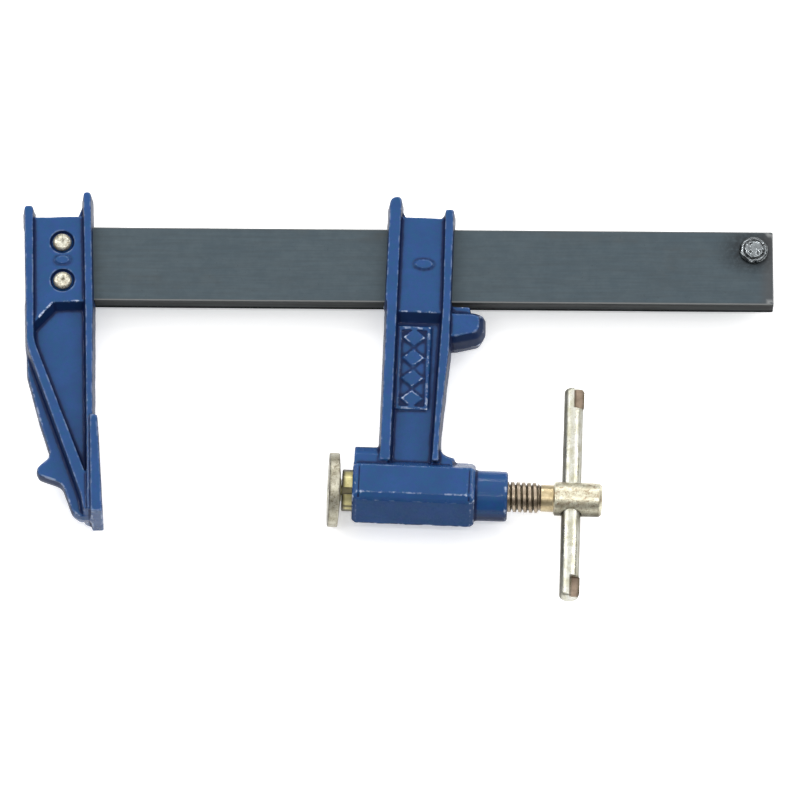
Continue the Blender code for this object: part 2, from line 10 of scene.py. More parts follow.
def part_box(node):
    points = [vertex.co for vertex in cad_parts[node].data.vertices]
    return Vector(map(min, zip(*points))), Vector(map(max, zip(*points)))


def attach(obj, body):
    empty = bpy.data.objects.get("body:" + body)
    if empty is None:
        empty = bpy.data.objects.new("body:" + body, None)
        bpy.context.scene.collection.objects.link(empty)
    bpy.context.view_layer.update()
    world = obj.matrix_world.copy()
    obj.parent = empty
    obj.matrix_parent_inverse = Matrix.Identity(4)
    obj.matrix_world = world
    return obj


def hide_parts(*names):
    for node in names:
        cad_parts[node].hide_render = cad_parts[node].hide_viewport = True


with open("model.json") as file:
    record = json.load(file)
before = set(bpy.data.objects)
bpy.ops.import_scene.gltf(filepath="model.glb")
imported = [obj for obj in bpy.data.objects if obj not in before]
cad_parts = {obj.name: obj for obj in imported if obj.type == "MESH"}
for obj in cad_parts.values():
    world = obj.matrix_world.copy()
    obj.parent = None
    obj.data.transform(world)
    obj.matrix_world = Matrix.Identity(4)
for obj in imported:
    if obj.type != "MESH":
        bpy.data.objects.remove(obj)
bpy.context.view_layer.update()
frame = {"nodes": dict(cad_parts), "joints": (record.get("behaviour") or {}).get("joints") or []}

MM = 0.001
joints = {joint["name"]: joint for joint in frame["joints"]}


# ---------------------------------------------------------------- frames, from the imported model
# Each matrix takes millimetres in a piece's own drawing to metres in the row frame.

SCALE = Matrix.Scale(MM, 4)
RAIL_START = 3.0
TURN_U = 40.0
PUMP_X, PUMP_Y = -29.3, -123.7
BAR_U = 111.3
BAR_OFFSET = 3.0
PAD_U = -9.3
PAD_TILT, PAD_TILT_TURN = 2.8, 23.0


def middle(node):
    low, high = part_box(node)
    return (low + high) / 2


def frame_at(place, x_axis):
    """A frame in metres at a place, with its X along an axis that lies in the row frame's XY plane."""
    turn = math.atan2(x_axis[1], x_axis[0])
    return Matrix.Translation(place) @ Matrix.Rotation(turn, 4, "Z")


def shift(x, y=0.0, z=0.0):
    return Matrix.Translation((x, y, z))


rail_low, rail_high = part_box("rail")
RAIL = Matrix.Translation((rail_low.x - RAIL_START * MM, middle("rail").y, middle("rail").z)) @ SCALE
rivet_upper = middle("fixed_jaw_rivet_upper")
rivet_lower = middle("fixed_jaw_rivet_lower")
jaw_up = rivet_upper - rivet_lower
FIXED = frame_at((rivet_upper + rivet_lower) / 2, (jaw_up.y, -jaw_up.x)) @ SCALE
turn_axis = Vector(joints["spindle_turn"]["axis"])
PUMP = frame_at(joints["spindle_turn"]["pos_m"], (-turn_axis.x, -turn_axis.y)) @ SCALE @ shift(-TURN_U)
SLIDING = PUMP @ shift(-PUMP_X, -PUMP_Y)
bar_axis = joints["tommy_slide"]["axis"]
BAR = frame_at(PUMP @ Vector((BAR_U, 0, 0)), (bar_axis[1], -bar_axis[0])) @ SCALE @ shift(0, BAR_OFFSET)
PAD = PUMP @ shift(PAD_U) @ Matrix.Rotation(math.radians(PAD_TILT_TURN), 4, "X")
PAD = PAD @ Matrix.Rotation(math.radians(PAD_TILT), 4, "Y") @ shift(-PAD_U)


# ---------------------------------------------------------------- materials


class Shader:
    """A Principled material that is put together from small nodes, on object coordinates."""

    def __init__(self, name, **constants):
        self.material = bpy.data.materials.new(name)
        self.material.use_nodes = True
        self.tree = self.material.node_tree
        self.surface = self.tree.nodes["Principled BSDF"]
        for socket, value in constants.items():
            self.surface.inputs[socket.replace("_", " ").title().replace("Ior", "IOR")].default_value = value
        self.place = self.tree.nodes.new("ShaderNodeTexCoord").outputs["Object"]

    def link(self, value, socket):
        if isinstance(value, bpy.types.NodeSocket):
            self.tree.links.new(value, socket)
        elif hasattr(value, "__len__") and len(value) == 3 and socket.type == "RGBA":
            socket.default_value = (*value, 1.0)
        else:
            socket.default_value = value

    def stretched(self, scale):
        node = self.tree.nodes.new("ShaderNodeMapping")
        node.inputs["Scale"].default_value = scale
        self.tree.links.new(self.place, node.inputs["Vector"])
        return node.outputs["Vector"]

    def noise(self, size_mm, detail=2.0, rough=0.5, vector=None, distortion=0.0):
        node = self.tree.nodes.new("ShaderNodeTexNoise")
        self.link(vector or self.place, node.inputs["Vector"])
        node.inputs["Scale"].default_value = 1.0 / (size_mm * MM)
        node.inputs["Detail"].default_value = detail
        node.inputs["Roughness"].default_value = rough
        node.inputs["Distortion"].default_value = distortion
        return node.outputs["Fac"]

    def ramp(self, value, low, high, start=0.0, end=1.0):
        node = self.tree.nodes.new("ShaderNodeMapRange")
        node.interpolation_type = "SMOOTHSTEP"
        for socket, number in (("Value", value), ("From Min", low), ("From Max", high),
                               ("To Min", start), ("To Max", end)):
            self.link(number, node.inputs[socket])
        return node.outputs["Result"]

    def maths(self, operation, a, b=0.0):
        node = self.tree.nodes.new("ShaderNodeMath")
        node.operation = operation
        self.link(a, node.inputs[0])
        self.link(b, node.inputs[1])
        return node.outputs["Value"]

    def mix(self, share, a, b):
        node = self.tree.nodes.new("ShaderNodeMix")
        node.data_type = "RGBA"
        for socket, value in zip((node.inputs[0], node.inputs[6], node.inputs[7]), (share, a, b)):
            self.link(value, socket)
        return node.outputs[2]

    def attribute(self, name):
        node = self.tree.nodes.new("ShaderNodeAttribute")
        node.attribute_name = name
        return node.outputs["Fac"]

    def along(self, axis):
        node = self.tree.nodes.new("ShaderNodeSeparateXYZ")
        self.link(self.place, node.inputs["Vector"])
        return node.outputs[axis]

    def bump(self, height, depth_mm, normal=None):
        node = self.tree.nodes.new("ShaderNodeBump")
        node.inputs["Strength"].default_value = 1.0
        node.inputs["Distance"].default_value = depth_mm * MM
        self.link(height, node.inputs["Height"])
        if normal:
            self.link(normal, node.inputs["Normal"])
        return node.outputs["Normal"]

    def finish(self, colour, roughness, normal=None, metallic=None):
        self.link(colour, self.surface.inputs["Base Color"])
        self.link(roughness, self.surface.inputs["Roughness"])
        if normal:
            self.link(normal, self.surface.inputs["Normal"])
        if metallic is not None:
            self.link(metallic, self.surface.inputs["Metallic"])
        return self.material


def enamel():
    """Blue enamel over a sand casting, with painted shade in its corners and on its walls, and painted
    highlights and wear on its edges.
    """
    s = Shader("blue_enamel_cast", coat_weight=0.10, coat_roughness=0.05, specular_ior_level=0.12)
    edge = s.attribute("edge")
    wall = s.attribute("shade")
    cloud = s.noise(16, 4, 0.6)
    sand = s.noise(1.1, 3, 0.62)
    grit = s.noise(0.42, 2, 0.5)
    base = s.mix(s.ramp(cloud, 0.35, 0.65), (0.0140, 0.053, 0.158), (0.0165, 0.061, 0.196))
    base = s.mix(s.ramp(s.noise(3.6, 4, 0.7), 0.42, 0.64, 0.0, 0.75), base, (0.0100, 0.064, 0.158))
    base = s.mix(s.ramp(s.noise(2.7, 4, 0.7), 0.52, 0.70, 0.0, 0.60), base, (0.0200, 0.046, 0.190))
    base = s.mix(s.ramp(grit, 0.35, 0.65, 0.0, 0.25), base, (0.010, 0.058, 0.200))
    # Painted shade: walls and slopes darkened towards deep navy by the "shade" attribute.
    base = s.mix(s.maths("MULTIPLY", wall, 0.88), base, (0.002, 0.008, 0.040))
    # Painted shade in corners and creases, where the edge attribute is low.
    base = s.mix(s.ramp(edge, 0.50, 0.28, 0.0, 0.92), base, (0.002, 0.008, 0.045))
    # Lighter blue on convex edges: partly paint wear, partly painted highlight; kept off the shaded walls.
    wear_and_edge_highlight = s.maths("MULTIPLY", s.ramp(edge, 0.62, 0.95), s.ramp(s.noise(2.4, 3, 0.6), 0.35, 0.65, 0.1, 0.7))
    wear_and_edge_highlight = s.maths("MULTIPLY", wear_and_edge_highlight, s.maths("SUBTRACT", 1.0, wall))
    base = s.mix(wear_and_edge_highlight, base, (0.15, 0.23, 0.42))
    # Painted glints: short near-white highlights on edges, where "inner" allows them.
    glint = s.maths("MULTIPLY", s.ramp(edge, 0.58, 0.76), s.ramp(s.noise(4.5, 3, 0.6), 0.48, 0.60))
    glint = s.maths("MULTIPLY", glint, s.attribute("inner"))
    base = s.mix(glint, base, (0.62, 0.70, 0.86))
    specks = s.ramp(s.noise(0.9, 4, 0.7, distortion=0.6), 0.68, 0.76)
    base = s.mix(s.maths("MULTIPLY", specks, 0.45), base, (0.004, 0.010, 0.036))
    rough = s.ramp(s.noise(5, 3, 0.6), 0.3, 0.7, 0.13, 0.24)
    rough = s.maths("ADD", rough, s.ramp(edge, 0.49, 0.30, 0.0, 0.45))
    rough = s.maths("ADD", rough, s.maths("MULTIPLY", wall, 0.35))
    normal = s.bump(s.noise(3.2, 2, 0.5), 0.05)
    normal = s.bump(s.maths("ADD", sand, s.maths("MULTIPLY", grit, 0.3)), 0.06, normal)
    return s.finish(base, rough, normal)


def mill_scale():
    """Hot-rolled flat bar: dark blue-grey scale with faint draw marks, painted shade on its narrow sides, and
    a painted highlight with burr marks along its edges.
    """
    s = Shader("mill_scale", specular_ior_level=0.12)
    long = s.stretched((0.05, 1.0, 1.0))
    longer = s.stretched((0.015, 1.0, 1.0))
    streak = s.noise(1.6, 4, 0.65, long)
    fine = s.noise(0.40, 3, 0.6, longer)
    cloud = s.noise(24, 4, 0.6, s.stretched((0.4, 1.0, 1.0)))
    blotch = s.noise(7, 5, 0.65)
    base = s.mix(s.ramp(blotch, 0.3, 0.7), (0.052, 0.073, 0.087), (0.062, 0.084, 0.097))
    base = s.mix(s.ramp(streak, 0.35, 0.7, 0.0, 0.30), base, (0.042, 0.050, 0.055))
    base = s.mix(s.ramp(cloud, 0.56, 0.76, 0.0, 0.45), base, (0.058, 0.056, 0.050))
    base = s.mix(s.ramp(fine, 0.64, 0.78, 0.0, 0.35), base, (0.10, 0.112, 0.118))
    base = s.mix(s.ramp(s.noise(1.8, 5, 0.7), 0.62, 0.75, 0.0, 0.4), base, (0.022, 0.023, 0.024))
    cut_end = s.ramp(s.along("X"), 0.184, 0.1915, 0.0, 0.45)
    base = s.mix(cut_end, base, (0.072, 0.063, 0.060))
    soil = s.maths("MULTIPLY", s.attribute("soil"), s.ramp(s.noise(2.2, 4, 0.65), 0.25, 0.6, 0.35, 1.0))
    base = s.mix(soil, base, (0.010, 0.010, 0.011))
    # Painted shade on the bar's narrow sides.
    base = s.mix(s.maths("MULTIPLY", s.attribute("shade"), 0.96), base, (0.004, 0.005, 0.005))
    # Painted highlight along the long edges and the cut end, and bright burr marks at the end's corners, from
    # the edge attribute.
    base = s.mix(s.ramp(s.attribute("edge"), 0.60, 0.90, 0.0, 0.6), base, (0.26, 0.27, 0.27))
    rough = s.ramp(s.noise(3.0, 4, 0.6, long), 0.3, 0.7, 0.40, 0.56)
    normal = s.bump(s.maths("ADD", streak, s.maths("MULTIPLY", fine, 0.6)), 0.03)
    normal = s.bump(s.noise(0.7, 3, 0.6), 0.015, normal)
    return s.finish(base, rough, normal, 0.0)


def plated(name, pale, dark, stain, roughness, grain=(1.0, 1.0, 1.0), pits=0.66, stain_at=0.60,
           metallic=0.9, crease_shade_and_pits=(0.06, 0.05, 0.03), relief=1.0, shade_and_stain_from=0.55):
    """Turned or forged steel with a thin plated coat, stained and pitted, with painted shade in its creases,
    and darker where its "shade" attribute is set.
    """
    s = Shader(name)
    drawn = s.stretched(grain)
    cloud = s.noise(4.5, 5, 0.65)
    lines = s.noise(0.35, 3, 0.6, drawn)
    base = s.mix(s.ramp(cloud, 0.35, 0.68), pale, dark)
    stains = s.ramp(s.noise(1.6, 5, 0.7, distortion=0.8), stain_at, stain_at + 0.14, 0.0, 0.85)
    base = s.mix(stains, base, stain)
    base = s.mix(s.ramp(lines, 0.56, 0.70, 0.0, 0.35), base, stain)
    edge = s.attribute("edge")
    # Painted shade in creases, where the edge attribute is low; the same colour, a little lighter, darkens
    # the real pits.
    base = s.mix(s.ramp(edge, 0.48, 0.28, 0.0, 0.9), base, crease_shade_and_pits)
    pit = s.ramp(s.noise(0.55, 3, 0.6), pits, pits + 0.07)
    base = s.mix(s.maths("MULTIPLY", pit, 0.8), base, [1.3 * share for share in crease_shade_and_pits])
    # Darker brown where the "shade" attribute is set: painted shade on the rod, the head and the pad, painted
    # shade and painted dark reflections with a darker keyway on the plunger, and a real rust stain on the jaw
    # rivets.
    shade_and_stain = s.maths("MULTIPLY", s.attribute("shade"), s.ramp(cloud, 0.30, 0.65, shade_and_stain_from, 0.97))
    base = s.mix(shade_and_stain, base, (0.040, 0.034, 0.018))
    rough = s.ramp(s.noise(1.8, 4, 0.6, drawn), 0.3, 0.7, roughness - 0.07, roughness + 0.12)
    height = s.maths("SUBTRACT", s.maths("MULTIPLY", lines, 0.5), pit)
    normal = s.bump(height, 0.035 * relief)
    normal = s.bump(s.noise(1.3, 2, 0.5), 0.05 * relief, normal)
    return s.finish(base, rough, normal, metallic)


def floor_paper():
    """A pale matt floor that glows a little itself, which keeps the shadows on it weak."""
    s = Shader("pale_floor", specular_ior_level=0.2, emission_strength=0.40)
    s.surface.inputs["Emission Color"].default_value = (1.0, 1.0, 1.0, 1.0)
    base = s.mix(s.noise(30, 2, 0.5), (0.93, 0.93, 0.93), (0.945, 0.945, 0.945))
    return s.finish(base, 0.85)


ENAMEL = enamel()
MILL = mill_scale()
YELLOW = plated("yellow_zinc_turned", (0.58, 0.53, 0.27), (0.46, 0.41, 0.18), (0.22, 0.18, 0.07), 0.36,
                metallic=0.6, shade_and_stain_from=0.92)
PADS = plated("yellow_zinc_pad", (0.48, 0.46, 0.37), (0.33, 0.31, 0.23), (0.15, 0.12, 0.075), 0.38, pits=0.60,
              stain_at=0.50, metallic=0.7)
RIVETS = plated("pale_rivet", (0.60, 0.59, 0.50), (0.46, 0.43, 0.33), (0.20, 0.12, 0.05), 0.34, pits=0.56,
                stain_at=0.52, metallic=0.8)
STOP = plated("dark_rivet", (0.24, 0.26, 0.27), (0.10, 0.11, 0.115), (0.015, 0.015, 0.015), 0.16, pits=0.72,
              stain_at=0.62, metallic=1.0, crease_shade_and_pits=(0.010, 0.010, 0.011), relief=0.3)
SCREW = plated("oiled_thread", (0.37, 0.305, 0.23), (0.26, 0.205, 0.145), (0.09, 0.065, 0.04), 0.32)
HEAD = plated("turned_head", (0.70, 0.69, 0.55), (0.46, 0.41, 0.29), (0.28, 0.20, 0.13), 0.34,
              (0.2, 1.0, 1.0), pits=0.60, stain_at=0.50, metallic=0.85, shade_and_stain_from=0.90)
SHANK = plated("turned_shank", (0.54, 0.45, 0.28), (0.38, 0.30, 0.17), (0.20, 0.13, 0.07), 0.34,
               (1.0, 0.1, 0.1))
ROD = plated("plated_rod", (0.54, 0.54, 0.49), (0.40, 0.39, 0.29), (0.22, 0.18, 0.11), 0.30,
             (1.0, 0.08, 1.0), stain_at=0.56, metallic=0.85, shade_and_stain_from=0.92)
PRESSED = plated("pressed_end", (0.27, 0.205, 0.150), (0.19, 0.14, 0.10), (0.09, 0.065, 0.045), 0.50,
                 metallic=0.6)
INNER = plated("ground_steel", (0.50, 0.50, 0.49), (0.42, 0.42, 0.41), (0.25, 0.23, 0.20), 0.25)
FLOOR = floor_paper()


# ---------------------------------------------------------------- mesh helpers


def linked(name, mesh):
    made = bpy.data.objects.new(name, mesh)
    bpy.context.scene.collection.objects.link(made)
    return made


def from_bmesh(name, bm, matrix=None):
    if matrix is not None:
        bmesh.ops.transform(bm, matrix=matrix, verts=bm.verts)
    bmesh.ops.recalc_face_normals(bm, faces=bm.faces)
    mesh = bpy.data.meshes.new(name)
    bm.to_mesh(mesh)
    bm.free()
    return linked(name, mesh)


def applied(obj):
    """The object with its modifiers made real."""
    graph = bpy.context.evaluated_depsgraph_get()
    mesh = bpy.data.meshes.new_from_object(obj.evaluated_get(graph), depsgraph=graph)
    obj.modifiers.clear()
    obj.data = mesh
    return obj


def cut(obj, *cutters):
    for cutter in cutters:
        modifier = obj.modifiers.new("cut", "BOOLEAN")
        modifier.operation = "DIFFERENCE"
        modifier.solver = "EXACT"
        modifier.object = cutter
    applied(obj)
    for cutter in cutters:
        bpy.data.objects.remove(cutter)
    return obj


EDGE_PASSES, EDGE_GAIN = 4, 2300.0


def curvature(mesh):
    """How far each vertex stands out of its neighbourhood, as 0.5 for flat and more for a convex edge."""
    count = len(mesh.vertices)
    co = np.zeros(count * 3)
    mesh.vertices.foreach_get("co", co)
    co = co.reshape(-1, 3)
    normals = np.zeros(count * 3)
    mesh.vertices.foreach_get("normal", normals)
    normals = normals.reshape(-1, 3)
    ends = np.zeros(len(mesh.edges) * 2, int)
    mesh.edges.foreach_get("vertices", ends)
    a, b = ends.reshape(-1, 2).T
    degree = np.bincount(a, minlength=count) + np.bincount(b, minlength=count)
    degree = np.maximum(degree, 1)[:, None]

    def averaged(values):
        total = np.zeros_like(values)
        np.add.at(total, a, values[b])
        np.add.at(total, b, values[a])
        return total / degree

    soft = co
    for _ in range(EDGE_PASSES):
        soft = averaged(soft)
    stands = np.einsum("ij,ij->i", co - soft, normals)[:, None]
    stands = averaged(stands)[:, 0]
    return np.clip(0.5 + stands * EDGE_GAIN, 0, 1)


def store(obj, name, values):
    """Keeps one number for each vertex, which the materials read by its name."""
    attribute = obj.data.attributes.new(name, "FLOAT", "POINT")
    attribute.data.foreach_set("value", np.array(values, np.float32))


def mark_edges(obj):
    store(obj, "edge", curvature(obj.data))


def flat_edges(obj):
    store(obj, "edge", np.full(len(obj.data.vertices), 0.5))


def mark(obj, name, matrix, share):
    """Stores a value from 0 to 1 on each vertex, by a rule on its place in the piece's own drawing."""
    back = matrix.inverted()
    store(obj, name, [min(max(share(*(back @ vert.co)), 0.0), 1.0) for vert in obj.data.vertices])


def dress(obj, material, body, slot, *nodes, smooth=35.0, edges=True):
    """The last steps of every piece: its shading, material and body, and hiding the CAD node it stands for.
    The slot is not used.
    """
    obj.data.shade_smooth()
    if smooth:
        obj.data.set_sharp_from_angle(angle=math.radians(smooth))
    obj.data.materials.clear()
    obj.data.materials.append(material)
    if edges:
        mark_edges(obj)
    elif "edge" not in obj.data.attributes:
        flat_edges(obj)
    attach(obj, body)
    if nodes:
        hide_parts(*nodes)
    return obj


def softened(corners, steps=4):
    """An open line of (u, r, radius) corners, with an arc of that radius at each."""
    points = []
    for index, (x, y, radius) in enumerate(corners):
        if radius == 0 or index in (0, len(corners) - 1):
            points.append((x, y))
            continue
        here = Vector((x, y))
        before = Vector(corners[index - 1][:2]) - here
        after = Vector(corners[index + 1][:2]) - here
        opening = before.angle(after)
        reach = min(radius / math.tan(opening / 2), before.length * 0.48, after.length * 0.48)
        start, end = before.normalized() * reach, after.normalized() * reach
        for step in range(steps + 1):
            t = step / steps
            bend = start * (1 - t) ** 2 + end * t ** 2
            points.append(tuple(here + bend))
    return points


def turned(profile, segments=64, wobble=0.0, grain=5.0, seed=0.0):
    """A solid of revolution about X from (u, r) points, with small waves in its surface."""
    bm = bmesh.new()
    rings = []
    for x, radius in profile:
        ring = []
        for step in range(segments):
            angle = 2 * math.pi * step / segments
            y, z = math.cos(angle), math.sin(angle)
            wave = wobble * noise.noise(Vector((x, y * radius + seed, z * radius)) / grain)
            ring.append(bm.verts.new((x, y * (radius - abs(wave)), z * (radius - abs(wave)))))
        rings.append(ring)
    for low, high in zip(rings, rings[1:]):
        for index in range(segments):
            after = (index + 1) % segments
            bm.faces.new((low[index], low[after], high[after], high[index]))
    for ring, (x, _) in ((rings[0], profile[0]), (rings[-1], profile[-1])):
        hub = bm.verts.new((x, 0, 0))
        for index in range(segments):
            bm.faces.new((ring[index], ring[(index + 1) % segments], hub))
    return bm


def prism(points, low, high):
    """A straight plate through (x, y) points, from z low to high."""
    bm = bmesh.new()
    floor = [bm.verts.new((x, y, low)) for x, y in points]
    roof = [bm.verts.new((x, y, high)) for x, y in points]
    for index in range(len(points)):
        after = (index + 1) % len(points)
        bm.faces.new((floor[index], floor[after], roof[after], roof[index]))
    bm.faces.new(floor[::-1])
    bm.faces.new(roof)
    return bm


def box_between(low, high):
    (x0, y0, z0), (x1, y1, z1) = low, high
    return prism([(x0, y0), (x1, y0), (x1, y1), (x0, y1)], z0, z1)


def oval(x, y, half_x, half_y, low, high, steps=24):
    points = []
    for step in range(steps):
        angle = 2 * math.pi * step / steps
        points.append((x + half_x * math.cos(angle), y + half_y * math.sin(angle)))
    return prism(points, low, high)


# ---------------------------------------------------------------- castings


VOXEL = 0.5
SKIN_WAVE = 0.09
WEB_TOP = 9.2
HEAD_BOTTOM, BARREL_TOP, TIP_TOP = -19.0, -106.0, -130.0
BARREL_FLATS, BARREL_LENGTH = 30.4, 62.3
BAND_DEPTH = 1.3
LINE_FRONT, LINE_REAR, LINE_HALF, LINE_DEPTH = 3.3, 3.0, 0.45, 0.45


def barrel_bands(local):
    """Flattens the hexagon's front edges into narrow bands, and scores a line near each end of the flats."""
    u, v, w = local[:, 0] - PUMP_X, local[:, 1] - PUMP_Y, local[:, 2]
    flat, slope = math.cos(math.radians(30)), math.sin(math.radians(30))
    limit = BARREL_FLATS / math.sqrt(3) - BAND_DEPTH
    along = (u > -0.5) & (u < BARREL_LENGTH + 0.5)
    over = np.where(along, np.maximum(np.abs(w) * flat - v * slope - limit, 0), 0)
    on_flat = along & (np.abs(w) > BARREL_FLATS / 2 - 1.0)
    lines = np.exp(-(((u - LINE_FRONT) / LINE_HALF) ** 2))
    lines += np.exp(-(((u - BARREL_LENGTH + LINE_REAR) / LINE_HALF) ** 2))
    score = np.where(on_flat, LINE_DEPTH * lines, 0)
    moved = local.copy()
    moved[:, 1] += over * slope
    moved[:, 2] -= np.sign(w) * (over * flat + score)
    return moved


def casting_marks(local, normals, bright_to, with_barrel):
    """Where painted shade darkens a casting ("shade", its walls and slopes) and where its edges may take
    painted glints ("inner").
    """
    upright = np.abs(normals[:, 2])
    on_barrel = (local[:, 1] < BARREL_TOP) & with_barrel
    barrel_wall = np.clip((0.62 - upright) / 0.5, 0, 1)
    wall = np.where(on_barrel, barrel_wall, np.clip((0.93 - upright) / 0.30, 0, 0.9))
    tip_front = (local[:, 1] < TIP_TOP) & (normals[:, 1] < -0.7) & ~on_barrel
    wall *= np.where(tip_front, 0.15, 1.0)
    inner = np.where((np.abs(local[:, 2]) < WEB_TOP) & (local[:, 1] < HEAD_BOTTOM), 0.9, 0.10)
    inner = np.where(local[:, 1] < bright_to, np.minimum(inner, 0.28), inner)
    inner = np.where(on_barrel, np.where(local[:, 1] < PUMP_Y, 0.6, 0.10), inner)
    return wall, inner


def casting(name, node, matrix, extras, passes, bright_to, reshape=None):
    """A sand casting: the CAD solid with its raised details, remeshed fine, rounded and a little wavy."""
    bm = bmesh.new()
    bm.from_mesh(frame["nodes"][node].data)
    for extra in extras:
        bmesh.ops.transform(extra, matrix=matrix, verts=extra.verts)
        bmesh.ops.recalc_face_normals(extra, faces=extra.faces)
        mesh = bpy.data.meshes.new("extra")
        extra.to_mesh(mesh)
        extra.free()
        bm.from_mesh(mesh)
        bpy.data.meshes.remove(mesh)
    mesh = bpy.data.meshes.new(name)
    bm.to_mesh(mesh)
    bm.free()
    jaw = linked(name, mesh)
    remesh = jaw.modifiers.new("remesh", "REMESH")
    remesh.mode = "VOXEL"
    remesh.voxel_size = VOXEL * MM
    smooth = jaw.modifiers.new("smooth", "SMOOTH")
    smooth.factor = 0.5
    smooth.iterations = passes
    applied(jaw)
    back = matrix.inverted()
    count = len(jaw.data.vertices)
    co = np.zeros(count * 3)
    jaw.data.vertices.foreach_get("co", co)
    normals = np.zeros(count * 3)
    jaw.data.vertices.foreach_get("normal", normals)
    co, normals = co.reshape(-1, 3), normals.reshape(-1, 3)
    local = co @ np.array(back.to_3x3()).T + np.array(back.translation)
    if reshape:
        local = reshape(local)
        co = local @ np.array(matrix.to_3x3()).T + np.array(matrix.translation)
    moved = np.zeros(count)
    for index, point in enumerate(local):
        place = Vector(point)
        moved[index] = noise.noise(place / 7.0) * 0.10 + noise.noise(place / 1.9) * 0.035
    seam = np.exp(-((local[:, 2] / 0.3) ** 2)) * (1 - np.abs(normals[:, 2]))
    depth = -SKIN_WAVE - np.clip(moved, -SKIN_WAVE, SKIN_WAVE) + SKIN_WAVE * seam
    co += normals * (depth * MM)[:, None]
    jaw.data.vertices.foreach_set("co", co.ravel())
    jaw.data.update()
    wall, inner = casting_marks(local, normals, bright_to, reshape is not None)
    store(jaw, "shade", wall)
    store(jaw, "inner", inner)
    return jaw


def ring_plate(x0, y0, x1, y1, border, low, high):
    """The four sides of a raised rectangular border."""
    return [
        box_between((x0, y0, low), (x1, y0 + border, high)),
        box_between((x0, y1 - border, low), (x1, y1, high)),
        box_between((x0, y0, low), (x0 + border, y1, high)),
        box_between((x1 - border, y0, low), (x1, y1, high)),
    ]


def lozenge(x, y, half_x, half_y, low, high):
    return prism([(x - half_x, y), (x, y - half_y), (x + half_x, y), (x, y + half_y)], low, high)


def fixed_jaw():
    extras = []
    for side in (1, -1):
        low, high = sorted((side * 8.0, side * 10.0))
        extras.append(oval(0.2, 0.5, 3.6, 2.2, low, high))
    jaw = casting("fixed_jaw_casting", "fixed_jaw", FIXED, extras, 7, -48.0)
    return dress(jaw, ENAMEL, "rail", "blue_enamel", "fixed_jaw", smooth=None)


def sliding_jaw():
    extras = []
    for side in (1, -1):
        low, high = sorted((side * 3.4, side * 5.0))
        extras += ring_plate(-9.6, -79.5, 7.0, -33.6, 1.5, low, high)
        for y in (-39.6, -50.9, -62.2, -73.5):
            extras.append(lozenge(-1.3, y, 5.6, 4.6, low, high))
        low, high = sorted((side * 8.0, side * 10.0))
        extras.append(oval(2.0, -0.4, 4.6, 2.4, low, high))
    jaw = casting("sliding_jaw_casting", "sliding_jaw", SLIDING, extras, 6, -82.0, barrel_bands)
    return dress(jaw, ENAMEL, "sliding_jaw", "blue_enamel", "sliding_jaw", smooth=None)


# ---------------------------------------------------------------- rail and rivets


def rail():
    """The flat bar as many cross-sections, so that its faces and edges are a little uneven."""
    start, end = RAIL_START, (rail_high.x - rail_low.x) / MM + RAIL_START
    half_y, half_z = (rail_high.y - rail_low.y) / 2 / MM, (rail_high.z - rail_low.z) / 2 / MM
    radius = 0.5

    def outline(inward):
        points = []
        y, z = half_y - inward, half_z - inward
        bend = max(radius - inward, 0.3)
        for cy, cz, first in ((y - bend, z - bend, 0), (-y + bend, z - bend, 90), (-y + bend, -z + bend, 180),
                              (y - bend, -z + bend, 270)):
            for step in range(5):
                angle = math.radians(first + 90 * step / 4)
                points.append((cy + bend * math.cos(angle), cz + bend * math.sin(angle)))
            shares = (0.012, 0.03, 0.1, 0.2, 0.3, 0.4, 0.5, 0.6, 0.7, 0.8, 0.9, 0.97, 0.988)
            if first in (0, 180):
                points += [(cy * (1 - 2 * t), z if first == 0 else -z) for t in shares]
            else:
                points += [(cy, cz * (1 - 2 * t)) for t in (0.06, 0.5, 0.94)]
        return points

    stations = [(start, 0.75), (start + 0.25, 0.3), (start + 0.8, 0.0)]
    length = end - start
    stations += [(start + length * step / 150, 0.0) for step in range(1, 150)]
    stations += [(end - 0.8, 0.0), (end - 0.25, 0.25), (end, 0.7)]
    bm = bmesh.new()
    rings = []
    for x, inward in stations:
        ring = []
        for y, z in outline(inward):
            wave = 0.05 * abs(noise.noise(Vector((x / 26, y / 9, z / 9))))
            wave += 0.03 * abs(noise.noise(Vector((x / 5, y / 2.5, z / 2.5))))
            shrink = 1 - wave / half_z
            ring.append(bm.verts.new((x, y * (1 - wave / half_y), z * shrink)))
        rings.append(ring)
    count = len(rings[0])
    for low, high in zip(rings, rings[1:]):
        for index in range(count):
            after = (index + 1) % count
            bm.faces.new((low[index], low[after], high[after], high[index]))
    bm.faces.new(rings[0])
    bm.faces.new(rings[-1][::-1])
    bar = from_bmesh("rail_bar", bm, RAIL)
    cutters = []
    for place in (middle("stop_rivet"), rivet_upper, rivet_lower):
        hole = turned([(-9, 4.25), (9, 4.25)], 32)
        matrix = Matrix.Translation(place) @ Matrix.Rotation(math.radians(90), 4, "Y") @ SCALE
        cutters.append(from_bmesh("hole", hole, matrix))
    cut(bar, *cutters)
    stop = RAIL.inverted() @ middle("stop_rivet")

    def edge_highlight_and_burrs(x, y, z):
        """A painted highlight along the long edges and the cut end, with bright burr marks at the end's
        corners.
        """
        if abs(z) < half_z - 0.35:
            return 0.5
        line = abs(y) > half_y - 0.6 or end - 0.6 < x < end - 0.1
        corner = x > end - 3.5 and abs(y) > half_y - 3.5
        return 0.5 + 0.4 * line + 0.4 * corner * (noise.noise(Vector((x, y, 0)) / 1.1) > 0.1)

    def soiled(x, y, z):
        """A smudge round the stop rivet that reaches further along the bar than past the rivet."""
        reach = 0.75 if x < stop.x else 1.2
        return 1.25 - math.hypot((x - stop.x) * reach, y - stop.y) / 13

    # Painted shade on the bar's narrow sides.
    mark(bar, "shade", RAIL, lambda x, y, z: (abs(y) - half_y + 0.75) * 4)
    mark(bar, "soil", RAIL, soiled)
    mark(bar, "edge", RAIL, edge_highlight_and_burrs)
    return dress(bar, MILL, "rail", "mill_scale_steel", "rail", smooth=30, edges=False)


